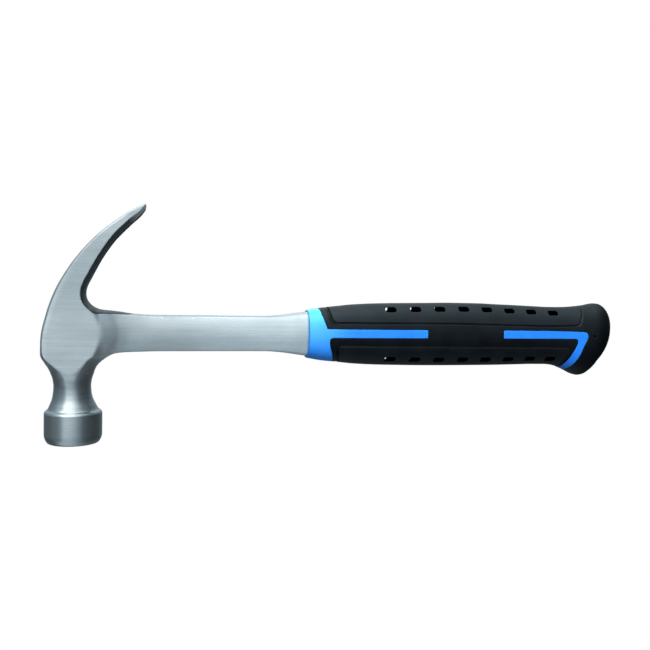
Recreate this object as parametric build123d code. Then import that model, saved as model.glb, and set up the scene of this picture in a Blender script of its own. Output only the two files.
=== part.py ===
# One-piece claw hammer, 450 g class, with a three-shot moulded grip.
#
# Frame: millimetres. X runs from the head to the butt along the handle,
# Z points from the striking face to the claws, Y is the thickness.
# The origin is the centre of the striking face, on the poll axis.
# The hammer is symmetric about the plane Y = 0. All Z values below are measured
# from the handle's centre line; the finished pieces are lifted by FACE_TO_AXIS.
from build123d import *
import math
import os

# ------------------------------------------------------- forging dimensions
FACE_TO_AXIS = 55.94       # striking face to the handle's centre line

POLL_R = 14.1
SHOULDER_Z = -40.0         # where neck and poll meet
SHOULDER_INSET = 0.2       # shoulder bevel, across the radius
SHOULDER_DROP = 0.35       # shoulder bevel, along the axis
RIM_Z = -53.0              # top of the rim bevel
FACE_Z = -55.4             # edge of the striking face
FACE_R = 12.4              # radius of the striking face
CROWN = 0.7                # crown of the striking face, before its flat centre

CHEEK_HALF = 10.5          # half thickness of the ground cheek
CLAW_HALF = 13.2           # half width over the claws at their tips
FLARE_Z = (8.0, 14.0, 20.0, 26.0, 32.0, 38.0, 44.0, 50.0, 54.0)  # flare from cheek to tips
NECK_CUT_Z = -27.0         # below this height the sides are not ground
SLAB_X0, SLAB_LENGTH = -30.0, 80.0     # extent along X of the space between the ground sides
SLAB_TOP, SLAB_BOTTOM = 70.0, -45.0    # its extent in height
SLAB_WIDE = 30.0                       # its half width below NECK_CUT_Z

TANG_END = 266.0           # end of the steel tang inside the grip
SHANK_SPLIT = 34.0         # the shank is lofted in two runs that meet here
KEY_HOLES = (160.0, 200.0, 240.0)      # X of the keying holes through the tang
KEY_HOLE_R = 2.5
KEY_HOLE_REACH = 20.0      # half length of the hole cutters

# Mid-plane outline of the claws and cheek, and the matching outline of the
# ground flat at its own half width: X, Z. The points of each pair correspond.
CONVEX_MID = [
    (-15.5, -9.9), (-15.65, -3.95), (-14.62, 3.3), (-12.36, 12.01),
    (-9.51, 20.02), (-5.43, 28.07), (-0.26, 36.18), (6.34, 44.38),
    (14.72, 52.7), (23.64, 59.8), (30.9, 64.5), (34.4, 66.3),
]
CONVEX_FLAT = [
    (-14.3, -8.9), (-14.0, -3.4), (-12.9, 3.6), (-10.8, 12.3),
    (-8.1, 19.9), (-4.1, 27.6), (0.88, 35.5), (7.34, 43.5),
    (15.64, 51.6), (24.46, 58.6), (31.3, 63.2), (34.0, 64.8),
]
CONCAVE_MID = [
    (35.2, 65.0), (34.2, 61.5), (30.31, 57.36), (24.11, 51.05),
    (19.06, 44.81), (14.92, 38.64), (11.32, 32.5), (8.07, 26.38),
    (6.4, 22.33), (6.02, 19.6), (6.9, 16.2), (9.0, 13.7), (13.4, 11.8),
    (17.0, 11.2),
]
CONCAVE_FLAT = [
    (35.0, 63.8), (32.6, 62.2), (27.9, 58.4), (21.9, 52.9),
    (16.7, 46.6), (12.6, 39.9), (9.1, 32.9), (5.9, 26.4),
    (4.2, 22.3), (3.8, 18.6), (4.5, 15.3), (6.6, 12.1), (9.6, 10.3),
    (12.2, 9.7),
]
# the side towards the handle, then the lower end towards the neck
HANDLE_MID = [(17.0, 11.2), (17.2, 5.0), (17.2, 0.6), (16.4, -4.4), (13.0, -9.0)]
HANDLE_FLAT = [(12.2, 9.7), (14.0, 4.6), (14.4, 0.6), (13.7, -4.4), (11.3, -9.5)]
LOWER_MID = [(13.0, -9.0), (4.5, -17.5), (-0.6, -20.6), (-8.0, -16.4), (-15.5, -9.9)]
LOWER_FLAT = [(11.3, -9.5), (3.2, -18.0), (-1.4, -21.2), (-8.2, -16.9), (-14.3, -8.9)]
MID_OUTLINE = [CONVEX_MID, CONCAVE_MID, HANDLE_MID, LOWER_MID]
FLAT_OUTLINE = [CONVEX_FLAT, CONCAVE_FLAT, HANDLE_FLAT, LOWER_FLAT]

# Neck: Z, radius, centre X
NECK = [
    (-9.4, 15.85, -0.50), (-10.8, 15.85, -0.50), (-12.2, 15.60, -0.50),
    (-14.0, 14.55, -0.50), (-16.0, 12.90, -0.50), (-18.0, 11.55, -0.50),
    (-20.0, 10.60, -0.50), (-22.0, 9.87, -0.50), (-24.0, 9.38, -0.50),
    (-26.2, 9.08, -0.50), (-28.2, 9.12, -0.50), (-30.2, 9.30, -0.48),
    (-32.2, 9.68, -0.42), (-34.2, 10.32, -0.32), (-36.2, 11.25, -0.20),
    (-38.2, 12.55, -0.08), (SHOULDER_Z, 13.9, 0.0),
]

# Shank and tang stations: X, top ridge, bottom ridge, half thickness on the
# centre line, half thickness at the edges
SHANK = [
    (-4.0, 9.6, -9.6, 12.1, 11.2), (4.0, 9.7, -9.6, 12.0, 11.1),
    (9.0, 10.1, -9.6, 11.4, 10.6), (11.3, 10.4, -9.6, 11.05, 10.25),
    (14.4, 10.6, -9.6, 10.15, 9.3), (18.7, 10.75, -9.6, 8.8, 7.85),
    (22.5, 10.65, -9.6, 7.8, 6.7), (27.6, 10.15, -9.55, 7.15, 5.9),
    (33.6, 9.6, -9.45, 6.8, 5.45), (40.0, 9.42, -9.33, 6.62, 5.27),
    (48.0, 9.42, -9.3, 6.5, 5.15), (63.0, 9.45, -9.3, 6.4, 5.05),
    (84.0, 9.4, -9.3, 6.4, 5.05), (96.8, 9.45, -9.35, 6.4, 5.05),
    (105.5, 10.1, -9.95, 6.45, 4.85), (114.3, 11.35, -11.15, 6.7, 4.4),
    (119.6, 11.95, -11.8, 6.8, 4.1), (124.0, 11.95, -11.8, 6.6, 3.9),
    (132.0, 11.0, -11.0, 5.6, 3.6), (145.0, 9.0, -9.0, 4.6, 3.7),
    (160.0, 8.4, -8.4, 4.2, 3.5), (262.0, 8.0, -8.0, 4.0, 3.3),
    (TANG_END, 7.0, -7.0, 3.6, 3.0),
]

# Curved edge of the fillet web between the neck and the underside of the shank: X, Z
WEB = [
    (27.5, -9.45), (23.3, -10.0), (20.2, -10.85), (17.1, -12.1),
    (13.9, -14.2), (11.9, -16.3), (10.6, -18.4),
]
WEB_HALF = 6.2             # half thickness
WEB_TOP = -4.0             # its upper edge, inside the shank

# Nail notch through the claws: Y, Z
NOTCH = [(-1.1, 27.5), (0.0, 26.6), (1.1, 27.5), (4.0, 70.0), (-4.0, 70.0)]
NOTCH_X0, NOTCH_X1 = -20.0, 60.0

# Notch bevel on the concave side: X, Z of a surface point, X, Z of the outward
# normal, half width at the surface, depth
BEVEL = [
    (7.4, 24.5, 0.88, -0.47, 1.2, 1.6),
    (14.9, 38.6, 0.86, -0.52, 4.2, 5.2),
    (24.1, 51.0, 0.76, -0.65, 6.0, 5.6),
    (36.5, 63.5, 0.70, -0.71, 7.4, 4.6),
]
BEVEL_LIFT = 3.0           # how far the bevel cutter stands off the surface

# ---------------------------------------------------------- grip dimensions
GRIP_X0 = 119.6            # front end of the moulded grip
GRIP_SPLIT = 288.0         # the grip is lofted in two runs that meet here
CORE_END = 275.0           # end of the moulded core around the tang
OVAL_EXPONENT = 2.3        # exponent of the grip's oval section
OVAL_POINTS = 16

# Grip stations: X, top, bottom, half thickness
GRIP = [
    (GRIP_X0, 12.9, -12.85, 9.75), (122.0, 13.4, -13.3, 10.0),
    (125.5, 13.95, -13.95, 10.3), (129.0, 14.45, -14.45, 10.6),
    (136.0, 15.25, -15.13, 11.1), (146.0, 16.3, -16.18, 11.6),
    (158.0, 17.0, -16.83, 11.9), (172.0, 17.4, -17.18, 12.0),
    (188.0, 17.7, -17.43, 12.0), (204.0, 18.02, -17.51, 12.0),
    (220.0, 17.95, -17.49, 12.0), (232.0, 17.56, -17.43, 12.0),
    (244.0, 17.2, -17.23, 12.0), (255.0, 16.8, -17.08, 12.05),
    (263.0, 16.5, -17.13, 12.2), (267.0, 16.45, -17.43, 12.3),
    (271.0, 16.47, -18.23, 12.4), (275.0, 16.55, -19.63, 12.6),
    (279.0, 16.75, -21.43, 12.8), (283.0, 17.15, -23.23, 13.0),
    (285.44, 17.4, -23.75, 13.0), (287.62, 17.7, -23.4, 13.0),
    (290.25, 18.08, -21.95, 12.9), (293.04, 18.7, -19.6, 12.6),
    (295.43, 19.02, -16.85, 12.0), (297.65, 18.9, -14.62, 11.2),
    (299.55, 18.05, -12.35, 10.2), (301.25, 16.7, -10.04, 9.0),
    (302.6, 15.15, -7.7, 7.8), (303.75, 13.4, -5.58, 6.4),
    (304.6, 11.9, -3.15, 5.2), (305.25, 10.2, -0.73, 3.9),
    (305.65, 8.2, 1.6, 2.6), (305.9, 6.2, 3.7, 1.3),
]
GRIP_TOP, GRIP_BOTTOM = 1, 2           # columns of GRIP

# Core stations, same columns as GRIP
CORE = [
    (GRIP_X0, 12.3, -12.2, 8.2), (130.0, 12.9, -12.9, 8.2),
    (145.0, 11.2, -11.2, 8.0), (170.0, 10.8, -10.8, 8.0),
    (240.0, 10.8, -10.8, 8.0), (268.0, 10.6, -10.6, 8.0),
    (CORE_END, 9.0, -9.0, 6.6),
]

# XZ outlines of the moulded regions, as chains for xz_prism
REGION_Z = 30.0            # clear above and below the grip
REGION_HALF = 40.0         # clear of both sides of the grip
STRIPE_Z0, STRIPE_Z1 = -1.6, 3.15      # side stripes of the core
STRIPE_FRONT_END = 186.0
STRIPE_REAR_START = 231.5
COLLAR = [                 # front collar with the front stripe
    [(110.0, -REGION_Z)], [(110.0, REGION_Z)], [(125.9, REGION_Z)],
    [(125.9, 16.0), (126.5, 11.6), (127.4, 8.5), (129.3, STRIPE_Z1)],
    [(STRIPE_FRONT_END, STRIPE_Z1), (STRIPE_FRONT_END, STRIPE_Z0)],
    [(132.0, STRIPE_Z0), (130.75, -3.4), (131.2, -6.6), (132.6, -10.4), (134.3, -16.5)],
    [(134.3, -REGION_Z)],
]
CHEVRON = [                # rear stripe with the chevron before the butt
    [(STRIPE_REAR_START, STRIPE_Z0), (STRIPE_REAR_START, STRIPE_Z1)],
    [(262.0, 3.0)],
    [(281.5, 2.35), (284.6, 1.2), (284.9, -1.0), (282.5, -6.0),
     (280.2, -12.2), (277.9, -17.0), (276.3, -20.0)],
    [(274.0, -REGION_Z), (268.0, -REGION_Z)],
    [(272.3, -20.0), (273.3, -15.6), (275.0, -12.2), (276.75, -8.0),
     (278.0, -4.2), (276.4, STRIPE_Z0)],
]
UPPER_PAD = [
    [(130.9, REGION_Z)],
    [(130.9, 17.5), (131.7, 10.6), (132.8, 7.6), (134.1, 6.65)],
    [(200.0, 6.8)],
    [(278.0, 6.45), (279.9, 7.3), (281.8, 11.1), (283.1, 14.0), (284.6, 17.8)],
    [(284.6, REGION_Z)],
]
LOWER_PAD = [
    [(138.0, -REGION_Z)],
    [(138.0, -17.5), (136.4, -12.5), (135.6, -7.6), (136.9, -6.3)],
    [(205.0, -6.6)],
    [(273.0, -7.1), (274.8, -8.6), (273.6, -11.6), (271.8, -15.4), (270.8, -20.0)],
    [(268.0, -REGION_Z)],
]

# Through slots in the two pads: X of their centres
SLOT_X = (165.4, 179.85, 194.2, 208.6, 222.75, 236.8, 250.5, 264.45)
SLOT_L = 6.4               # slot length
SLOT_W = 2.6               # slot height
SLOT_CORNER_R = 1.2
SLOT_REACH = 30.0          # half depth of the slot cutters
SLOT_TOP_OFFSET = -3.5     # slot centre from the top outline
SLOT_BOTTOM_OFFSET = 3.8   # slot centre from the bottom outline
LAST_BOTTOM_SHIFT = -1.2   # the last bottom slot sits this far off its place in X

DIMPLE_X, DIMPLE_Z = 289.3, -0.2       # gate dimple in each side of the butt
DIMPLE_R, DIMPLE_FLOOR = 0.85, 11.4    # its radius, and its floor from Y = 0
DIMPLE_REACH = 10.0        # length of the dimple cutters


# ------------------------------------------------------------------ helpers
def one(shape):
    """The largest solid of a boolean result."""
    return max(shape.solids(), key=lambda s: s.volume)


def lines(points):
    """Straight edges through the points in order."""
    return [Edge.make_line(a, b) for a, b in zip(points, points[1:])]


def xz_prism(chains, half):
    """Prism along Y from a closed XZ outline: each chain of points is a curve
    when it has more than two points, and chains are joined by lines."""
    edges = []
    last = None
    for chain in chains + [chains[0][:1]]:
        points = [Vector(x, -half, z) for x, z in chain]
        if last is not None and (last - points[0]).length > 1e-6:
            edges.append(Edge.make_line(last, points[0]))
        if len(points) == 2:
            edges.append(Edge.make_line(points[0], points[1]))
        elif len(points) > 2:
            edges.append(Edge.make_spline(points))
        last = points[-1]
    return Solid.extrude(Face(Wire(edges)), Vector(0, 2 * half, 0))


def linear(table, x, column):
    """Linear interpolation of a column of a table over column 0."""
    for p, q in zip(table, table[1:]):
        if p[0] <= x <= q[0]:
            return p[column] + (q[column] - p[column]) * (x - p[0]) / (q[0] - p[0])


def monotone_cubic(table, x, column):
    """Monotone cubic interpolation of a column of a table over column 0."""
    n = len(table)
    xs = [row[0] for row in table]
    ys = [row[column] for row in table]
    i = max(j for j in range(n - 1) if xs[j] <= x + 1e-9)

    def slope(j):
        if j <= 0 or j >= n - 1:
            a = 0 if j <= 0 else n - 2
            return (ys[a + 1] - ys[a]) / (xs[a + 1] - xs[a])
        h0, h1 = xs[j] - xs[j - 1], xs[j + 1] - xs[j]
        d0, d1 = (ys[j] - ys[j - 1]) / h0, (ys[j + 1] - ys[j]) / h1
        if d0 * d1 <= 0:
            return 0.0
        w0, w1 = 2 * h1 + h0, h1 + 2 * h0
        return (w0 + w1) / (w0 / d0 + w1 / d1)

    h = xs[i + 1] - xs[i]
    t = (x - xs[i]) / h
    m0, m1 = slope(i) * h, slope(i + 1) * h
    return ((2 * t ** 3 - 3 * t ** 2 + 1) * ys[i] + (t ** 3 - 2 * t ** 2 + t) * m0
            + (-2 * t ** 3 + 3 * t ** 2) * ys[i + 1] + (t ** 3 - t ** 2) * m1)


def loft_run(section, table, x0, x1, steps):
    """Loft of sections at evenly spaced X between x0 and x1 of a station table."""
    sections = []
    for i in range(steps + 1):
        x = x0 + (x1 - x0) * i / steps
        row = [monotone_cubic(table, x, column) for column in range(1, len(table[0]))]
        sections.append(section(x, *row))
    return Solid.make_loft(sections)


def oval(x, top, bottom, half):
    """Closed oval section of the grip in the plane X = x."""
    z_mid, half_height = (top + bottom) / 2, (top - bottom) / 2
    points = []
    for i in range(OVAL_POINTS):
        angle = 2 * math.pi * i / OVAL_POINTS
        c, s = math.cos(angle), math.sin(angle)
        y = half * math.copysign(abs(c) ** (2 / OVAL_EXPONENT), c)
        z = z_mid + half_height * math.copysign(abs(s) ** (2 / OVAL_EXPONENT), s)
        points.append(Vector(x, y, z))
    return Wire(Edge.make_spline(points, periodic=True))


def shank_section(x, top, bottom, half, edge):
    """Crowned bar section: two crowned flats and two shallow ridges."""
    ridge = 0.45 + 0.3 * max(0.0, half - edge - 1.4)
    z_top, z_bottom, z_mid = top - ridge, bottom + ridge, (top + bottom) / 2
    a, b = Vector(x, -edge, z_bottom), Vector(x, -edge, z_top)
    c, d = Vector(x, edge, z_top), Vector(x, edge, z_bottom)
    return Wire([
        Edge.make_three_point_arc(a, Vector(x, -half, z_mid), b),
        Edge.make_three_point_arc(b, Vector(x, 0, top), c),
        Edge.make_three_point_arc(c, Vector(x, half, z_mid), d),
        Edge.make_three_point_arc(d, Vector(x, 0, bottom), a),
    ])


# ----------------------------------------------------------------- forging
def claw_half(z):
    """Half width of cheek and claws at height z."""
    t = min(max((z - FLARE_Z[0]) / (FLARE_Z[-1] - FLARE_Z[0]), 0.0), 1.0)
    return CHEEK_HALF + (CLAW_HALF - CHEEK_HALF) * t * t * (3 - 2 * t)


def widen(mid, flat):
    """Move a flat outline measured at the local half width out to CLAW_HALF."""
    out = []
    for (mid_x, mid_z), (flat_x, flat_z) in zip(mid, flat):
        k = (CLAW_HALF / claw_half(flat_z)) ** 2
        out.append((mid_x + (flat_x - mid_x) * k, mid_z + (flat_z - mid_z) * k))
    return out


def outline_wire(y, outline):
    """Closed outline of claws and cheek in the plane Y = y."""
    convex, concave, handle, lower = [
        [Vector(x, y, z) for x, z in points] for points in outline]
    return Wire([
        Edge.make_spline(convex),
        Edge.make_line(convex[-1], concave[0]),
        Edge.make_spline(concave),
        Edge.make_spline(handle),
        *lines(lower),
    ])


def make_plate():
    """Claws and cheek, before the sides are ground."""
    wide = [widen(mid, flat) for mid, flat in zip(MID_OUTLINE, FLAT_OUTLINE)]
    return Solid.make_loft([
        outline_wire(-CLAW_HALF, wide),
        outline_wire(0.0, MID_OUTLINE),
        outline_wire(CLAW_HALF, wide),
    ])


def make_slab():
    """Space between the ground sides, flaring gently towards the claw tips
    and standing clear of the neck below NECK_CUT_Z."""
    plus_side = [Vector(SLAB_X0, claw_half(z), z) for z in FLARE_Z]
    minus_side = [Vector(SLAB_X0, -claw_half(z), z) for z in FLARE_Z]
    above = [(CLAW_HALF, SLAB_TOP), (-CLAW_HALF, SLAB_TOP)]
    below = [(-CHEEK_HALF, NECK_CUT_Z), (-SLAB_WIDE, NECK_CUT_Z), (-SLAB_WIDE, SLAB_BOTTOM),
             (SLAB_WIDE, SLAB_BOTTOM), (SLAB_WIDE, NECK_CUT_Z), (CHEEK_HALF, NECK_CUT_Z)]
    above = [Vector(SLAB_X0, y, z) for y, z in above]
    below = [Vector(SLAB_X0, y, z) for y, z in below]
    profile = Face(Wire(
        [Edge.make_spline(plus_side)]
        + lines([plus_side[-1]] + above + [minus_side[-1]])
        + [Edge.make_spline(minus_side[::-1])]
        + lines([minus_side[0]] + below + [plus_side[0]])))
    return Solid.extrude(profile, Vector(SLAB_LENGTH, 0, 0))


def make_poll():
    """Turned poll with a shallow spherical crown on the striking face."""
    low_z = -FACE_TO_AXIS
    # the rim bevel carries on down to the flat centre's level
    low_r = FACE_R - (POLL_R - FACE_R) * (FACE_Z - low_z) / (RIM_Z - FACE_Z)
    profile = Wire(lines([
        (0, 0, SHOULDER_Z),
        (POLL_R - SHOULDER_INSET, 0, SHOULDER_Z),
        (POLL_R, 0, SHOULDER_Z - SHOULDER_DROP),
        (POLL_R, 0, RIM_Z),
        (low_r, 0, low_z),
        (0, 0, low_z),
        (0, 0, SHOULDER_Z),
    ]))
    poll = Solid.revolve(Face(profile), 360, Axis.Z)
    crown_r = (FACE_R ** 2 + CROWN ** 2) / (2 * CROWN)
    return one(poll.intersect(Solid.make_sphere(
        crown_r, Plane(origin=(0, 0, FACE_Z - CROWN + crown_r)), -90, 90, 360)))


def bevel_section(x, z, normal_x, normal_z, half_width, depth):
    """Triangle across the claw: base outside the surface, point inside it."""
    k = (depth + BEVEL_LIFT) / depth
    base_x, base_z = x + normal_x * BEVEL_LIFT, z + normal_z * BEVEL_LIFT
    return Wire.make_polygon([
        Vector(base_x, -half_width * k, base_z),
        Vector(base_x, half_width * k, base_z),
        Vector(x - normal_x * depth, 0, z - normal_z * depth),
    ], close=True)


def make_forging():
    plate = make_plate()
    neck = Solid.make_loft([
        Wire(Edge.make_circle(r, Plane(origin=(x, 0, z)))) for z, r, x in NECK])
    shank_head = loft_run(shank_section, SHANK, SHANK[0][0], SHANK_SPLIT, steps=12)
    shank_rest = loft_run(shank_section, SHANK, SHANK_SPLIT, TANG_END, steps=30)
    web = xz_prism(
        [WEB, [(0.0, WEB[-1][1])], [(0.0, WEB_TOP)], [(WEB[0][0], WEB_TOP)]], WEB_HALF)

    head = one(plate.fuse(neck, shank_head, web))
    head = one(head.intersect(make_slab()))

    notch = Solid.extrude(
        Face(Wire.make_polygon([Vector(NOTCH_X0, y, z) for y, z in NOTCH], close=True)),
        Vector(NOTCH_X1 - NOTCH_X0, 0, 0))
    bevel = Solid.make_loft([bevel_section(*row) for row in BEVEL], ruled=True)
    head = one(head.cut(notch, bevel))

    body = one(head.fuse(make_poll(), shank_rest))
    for x in KEY_HOLES:
        body = body.cut(Solid.make_cylinder(
            KEY_HOLE_R, 2 * KEY_HOLE_REACH,
            Plane(origin=(x, -KEY_HOLE_REACH, 0), z_dir=(0, 1, 0))))
    return one(body)


# -------------------------------------------------------------------- grip
def make_grip():
    """Whole outer body of the grip."""
    front = loft_run(oval, GRIP, GRIP_X0, GRIP_SPLIT, steps=26)
    butt = loft_run(oval, GRIP, GRIP_SPLIT, GRIP[-1][0], steps=12)
    return one(front.fuse(butt))


def make_slots(column, offset, last_shift=0.0):
    """Row of slot cutters that follows one outline column of GRIP."""
    slots = []
    for x in SLOT_X:
        z = linear(GRIP, x, column) + offset
        if x == SLOT_X[-1]:
            x += last_shift
        box = Solid.make_box(
            SLOT_L, 2 * SLOT_REACH, SLOT_W,
            Plane(origin=(x - SLOT_L / 2, -SLOT_REACH, z - SLOT_W / 2)))
        slots.append(box.fillet(SLOT_CORNER_R, box.edges().filter_by(Axis.Y)))
    return slots


def make_pad(jacket, region, slots):
    return one(one(jacket.intersect(region)).cut(*slots))


def make_shell(jacket, *regions):
    """What the other regions leave of the jacket, with its gate dimples."""
    shell = one(jacket.cut(*regions))
    for side in (-1, 1):
        shell = one(shell.cut(Solid.make_cylinder(
            DIMPLE_R, DIMPLE_REACH,
            Plane(origin=(DIMPLE_X, side * DIMPLE_FLOOR, DIMPLE_Z), z_dir=(0, side, 0)))))
    return shell


def make_core(core_body, grip, region, forging):
    """Core around the tang, reaching the surface at collar, stripes and chevron."""
    skin = grip.intersect(region)
    return one(core_body.fuse(*skin.solids()).cut(forging))


forging = make_forging()
grip = make_grip()
core_body = loft_run(oval, CORE, GRIP_X0, CORE_END, steps=14)
jacket = one(grip.cut(core_body))      # grip material outside the core

core_region = xz_prism(COLLAR, REGION_HALF).fuse(xz_prism(CHEVRON, REGION_HALF))
upper_region = xz_prism(UPPER_PAD, REGION_HALF)
lower_region = xz_prism(LOWER_PAD, REGION_HALF)
top_slots = make_slots(GRIP_TOP, SLOT_TOP_OFFSET)
bottom_slots = make_slots(GRIP_BOTTOM, SLOT_BOTTOM_OFFSET, LAST_BOTTOM_SHIFT)

# ------------------------------------------------------------------- output
NODES = {
    "hammer_forging": forging,
    "grip_core": make_core(core_body, grip, core_region, forging),
    "grip_shell": make_shell(jacket, core_region, upper_region, lower_region),
    "upper_grip_pad": make_pad(jacket, upper_region, top_slots),
    "lower_grip_pad": make_pad(jacket, lower_region, bottom_slots),
}
os.makedirs("parts", exist_ok=True)
for name, shape in NODES.items():
    export_step(shape.moved(Location((0, 0, FACE_TO_AXIS))), f"parts/{name}.step")
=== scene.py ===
"""Visual model of a one-piece claw hammer: every visible part is meshed from its own distance field."""
import math
import numpy as np
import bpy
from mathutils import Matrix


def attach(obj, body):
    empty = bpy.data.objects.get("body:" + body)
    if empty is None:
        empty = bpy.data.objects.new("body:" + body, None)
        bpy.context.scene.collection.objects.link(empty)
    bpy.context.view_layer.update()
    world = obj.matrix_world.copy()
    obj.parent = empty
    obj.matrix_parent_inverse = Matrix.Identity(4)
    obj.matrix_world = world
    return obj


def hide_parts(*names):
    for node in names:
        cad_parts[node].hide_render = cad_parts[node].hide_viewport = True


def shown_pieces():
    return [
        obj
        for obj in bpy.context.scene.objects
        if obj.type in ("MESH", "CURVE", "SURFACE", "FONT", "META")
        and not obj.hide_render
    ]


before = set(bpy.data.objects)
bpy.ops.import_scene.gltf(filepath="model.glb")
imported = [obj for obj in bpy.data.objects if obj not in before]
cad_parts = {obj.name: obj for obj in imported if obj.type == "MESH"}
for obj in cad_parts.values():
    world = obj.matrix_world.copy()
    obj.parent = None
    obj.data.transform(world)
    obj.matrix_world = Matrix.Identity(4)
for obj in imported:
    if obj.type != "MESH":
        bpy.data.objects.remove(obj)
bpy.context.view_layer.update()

LIFT = 55.94          # mm, striking face to the handle's centre line


# ---------------------------------------------------------------- helpers
def pchip(xs, ys):
    """Monotone cubic through a table, flat outside it."""
    xs = np.asarray(xs, float)
    ys = np.asarray(ys, float)
    h = np.diff(xs)
    d = np.diff(ys) / h
    m = np.zeros_like(ys)
    m[0], m[-1] = d[0], d[-1]
    for j in range(1, len(xs) - 1):
        if d[j - 1] * d[j] > 0:
            w0, w1 = 2 * h[j] + h[j - 1], h[j] + 2 * h[j - 1]
            m[j] = (w0 + w1) / (w0 / d[j - 1] + w1 / d[j])

    def f(x):
        x = np.clip(np.asarray(x, float), xs[0], xs[-1])
        i = np.clip(np.searchsorted(xs, x, side="right") - 1, 0, len(xs) - 2)
        t = (x - xs[i]) / h[i]
        return ((2 * t ** 3 - 3 * t ** 2 + 1) * ys[i] + (t ** 3 - 2 * t ** 2 + t) * m[i] * h[i]
                + (-2 * t ** 3 + 3 * t ** 2) * ys[i + 1] + (t ** 3 - t ** 2) * m[i + 1] * h[i])
    return f


def column(table, k):
    return pchip([r[0] for r in table], [r[k] for r in table])


def smax(a, b, k):
    """Maximum with its edge rounded over k."""
    h = np.maximum(k - np.abs(a - b), 0.0) / k
    return np.maximum(a, b) + h * h * k * 0.25


def smin(a, b, k):
    return -smax(-a, -b, k)


def spline(points, n=12):
    """Centripetal Catmull-Rom points along a list."""
    p = np.asarray(points, float)
    ext = np.vstack([2 * p[0] - p[1], p, 2 * p[-1] - p[-2]])
    out = []
    for i in range(1, len(ext) - 2):
        p0, p1, p2, p3 = ext[i - 1], ext[i], ext[i + 1], ext[i + 2]
        t0 = 0.0
        t1 = t0 + np.linalg.norm(p1 - p0) ** 0.5
        t2 = t1 + np.linalg.norm(p2 - p1) ** 0.5
        t3 = t2 + np.linalg.norm(p3 - p2) ** 0.5
        for t in np.linspace(t1, t2, n, endpoint=False):
            a1 = (t1 - t) / (t1 - t0) * p0 + (t - t0) / (t1 - t0) * p1
            a2 = (t2 - t) / (t2 - t1) * p1 + (t - t1) / (t2 - t1) * p2
            a3 = (t3 - t) / (t3 - t2) * p2 + (t - t2) / (t3 - t2) * p3
            b1 = (t2 - t) / (t2 - t0) * a1 + (t - t0) / (t2 - t0) * a2
            b2 = (t3 - t) / (t3 - t1) * a2 + (t - t1) / (t3 - t1) * a3
            out.append((t2 - t) / (t2 - t1) * b1 + (t - t1) / (t2 - t1) * b2)
    out.append(p[-1])
    return np.array(out)


def outline_distance(poly, x, z):
    """Signed distance to a closed polygon, negative inside."""
    a = np.asarray(poly, float)
    b = np.roll(a, -1, axis=0)
    x = np.asarray(x, float)
    z = np.asarray(z, float)
    best = np.full(x.shape, 1e9)
    inside = np.zeros(x.shape, bool)
    for (ax, az), (bx, bz) in zip(a, b):
        ex, ez = bx - ax, bz - az
        l2 = ex * ex + ez * ez
        if l2 < 1e-12:
            continue
        t = np.clip(((x - ax) * ex + (z - az) * ez) / l2, 0, 1)
        best = np.minimum(best, (x - ax - t * ex) ** 2 + (z - az - t * ez) ** 2)
        if az != bz:
            hit = ((az > z) != (bz > z)) & (x < ax + (z - az) * ex / ez)
            inside ^= hit
    d = np.sqrt(best)
    return np.where(inside, -d, d)


def curve_distance(points, x, z):
    """Distance to an open chain of points."""
    p = np.asarray(points, float)
    best = np.full(np.shape(x), 1e9)
    for (ax, az), (bx, bz) in zip(p, p[1:]):
        ex, ez = bx - ax, bz - az
        l2 = ex * ex + ez * ez + 1e-12
        t = np.clip(((x - ax) * ex + (z - az) * ez) / l2, 0, 1)
        best = np.minimum(best, (x - ax - t * ex) ** 2 + (z - az - t * ez) ** 2)
    return np.sqrt(best)


class Map2:
    """A field over the XZ plane, sampled once and read back bilinearly."""

    def __init__(self, fn, x0, x1, z0, z1, h):
        self.x0, self.z0, self.h = x0, z0, h
        self.nx = int(math.ceil((x1 - x0) / h)) + 1
        self.nz = int(math.ceil((z1 - z0) / h)) + 1
        xs = x0 + h * np.arange(self.nx)
        zs = z0 + h * np.arange(self.nz)
        X, Z = np.meshgrid(xs, zs, indexing="ij")
        self.v = fn(X, Z)

    def __call__(self, x, z):
        x, z = np.broadcast_arrays(x, z)
        u = np.clip((x - self.x0) / self.h, 0, self.nx - 1.001)
        w = np.clip((z - self.z0) / self.h, 0, self.nz - 1.001)
        i, j = u.astype(int), w.astype(int)
        fu, fw = u - i, w - j
        v = self.v
        return ((v[i, j] * (1 - fu) + v[i + 1, j] * fu) * (1 - fw)
                + (v[i, j + 1] * (1 - fu) + v[i + 1, j + 1] * fu) * fw)


# ----------------------------------------------------------- the forging
CHEEK_HALF, CLAW_HALF = 10.5, 13.2
SHOULDER_Z, RIM_Z, FACE_Z = -40.0, -53.0, -55.4
POLL_R, FACE_R, CROWN = 14.1, 12.4, 0.7

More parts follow.
